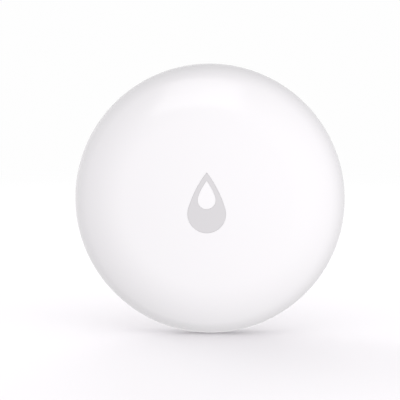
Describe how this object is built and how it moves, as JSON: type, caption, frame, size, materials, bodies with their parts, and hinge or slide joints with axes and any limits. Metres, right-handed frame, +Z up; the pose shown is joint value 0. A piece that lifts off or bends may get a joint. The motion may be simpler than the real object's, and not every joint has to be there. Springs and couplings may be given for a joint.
{
  "type": "water leak sensor",
  "caption": "Round pebble-shaped water leak sensor that lies on the floor, with metal probes underneath, a bayonet battery door and a drop-shaped button with a light window.",
  "frame": {"origin": "centre of the body on the plane of the feet, which is the floor it lies on", "axes": "+Z up out of the domed face, +Y toward the tip of the drop, +X toward the right-hand probe"},
  "size_m": [0.05, 0.05, 0.015],
  "materials": {
    "shell_white": "white moulded ABS, semi-gloss",
    "seal_rubber": "black moulded rubber",
    "key_grey": "pale grey moulded ABS, semi-gloss",
    "window_white": "milky translucent plastic",
    "membrane_silicone": "translucent silicone",
    "switch_black": "black moulded nylon",
    "plated_steel": "bright plated steel",
    "board_laminate": "green solder mask on glass laminate",
    "chip_black": "black moulding compound",
    "led_lens": "pale clear resin",
    "passive_ceramic": "tan ceramic",
    "copper_track": "tinned copper track",
    "cell_steel": "plain stainless can",
    "contact_spring": "plated spring bronze",
    "probe_steel": "turned stainless steel",
    "standoff_brass": "turned brass"
  },
  "bodies": {
    "housing": {"top_shell": "shell_white", "base_shell": "shell_white", "shell_seal": "seal_rubber", "button_membrane": "membrane_silicone", "switch_body": "switch_black", "switch_cover": "plated_steel", "snap_dome": "plated_steel", "main_board": "board_laminate", "board_screws": "plated_steel", "radio_chip": "chip_black", "crystal": "plated_steel", "status_led": "led_lens", "board_passives": "passive_ceramic", "antenna_track": "copper_track", "coin_cell": "cell_steel", "cap_contact": "contact_spring", "rim_contact": "contact_spring", "probe_screws": "probe_steel", "probe_seals": "seal_rubber", "probe_standoffs": "standoff_brass"},
    "button": {"drop_button": "key_grey", "drop_window": "window_white", "switch_plunger": "switch_black"},
    "door": {"battery_door": "shell_white", "door_seal": "seal_rubber"}
  },
  "joints": [
    {"name": "button_press", "type": "slide", "parent": "housing", "child": "button", "axis": [0, 0, -1], "range_m": [0, 0.00025], "stiffness_N_per_m": 5000, "deforming": ["button_membrane", "snap_dome"]},
    {"name": "door_turn", "type": "hinge", "parent": "housing", "child": "door", "pos_m": [0, 0, 0.0015], "axis": [0, 0, -1], "range_deg": [0, 40]}
  ]
}
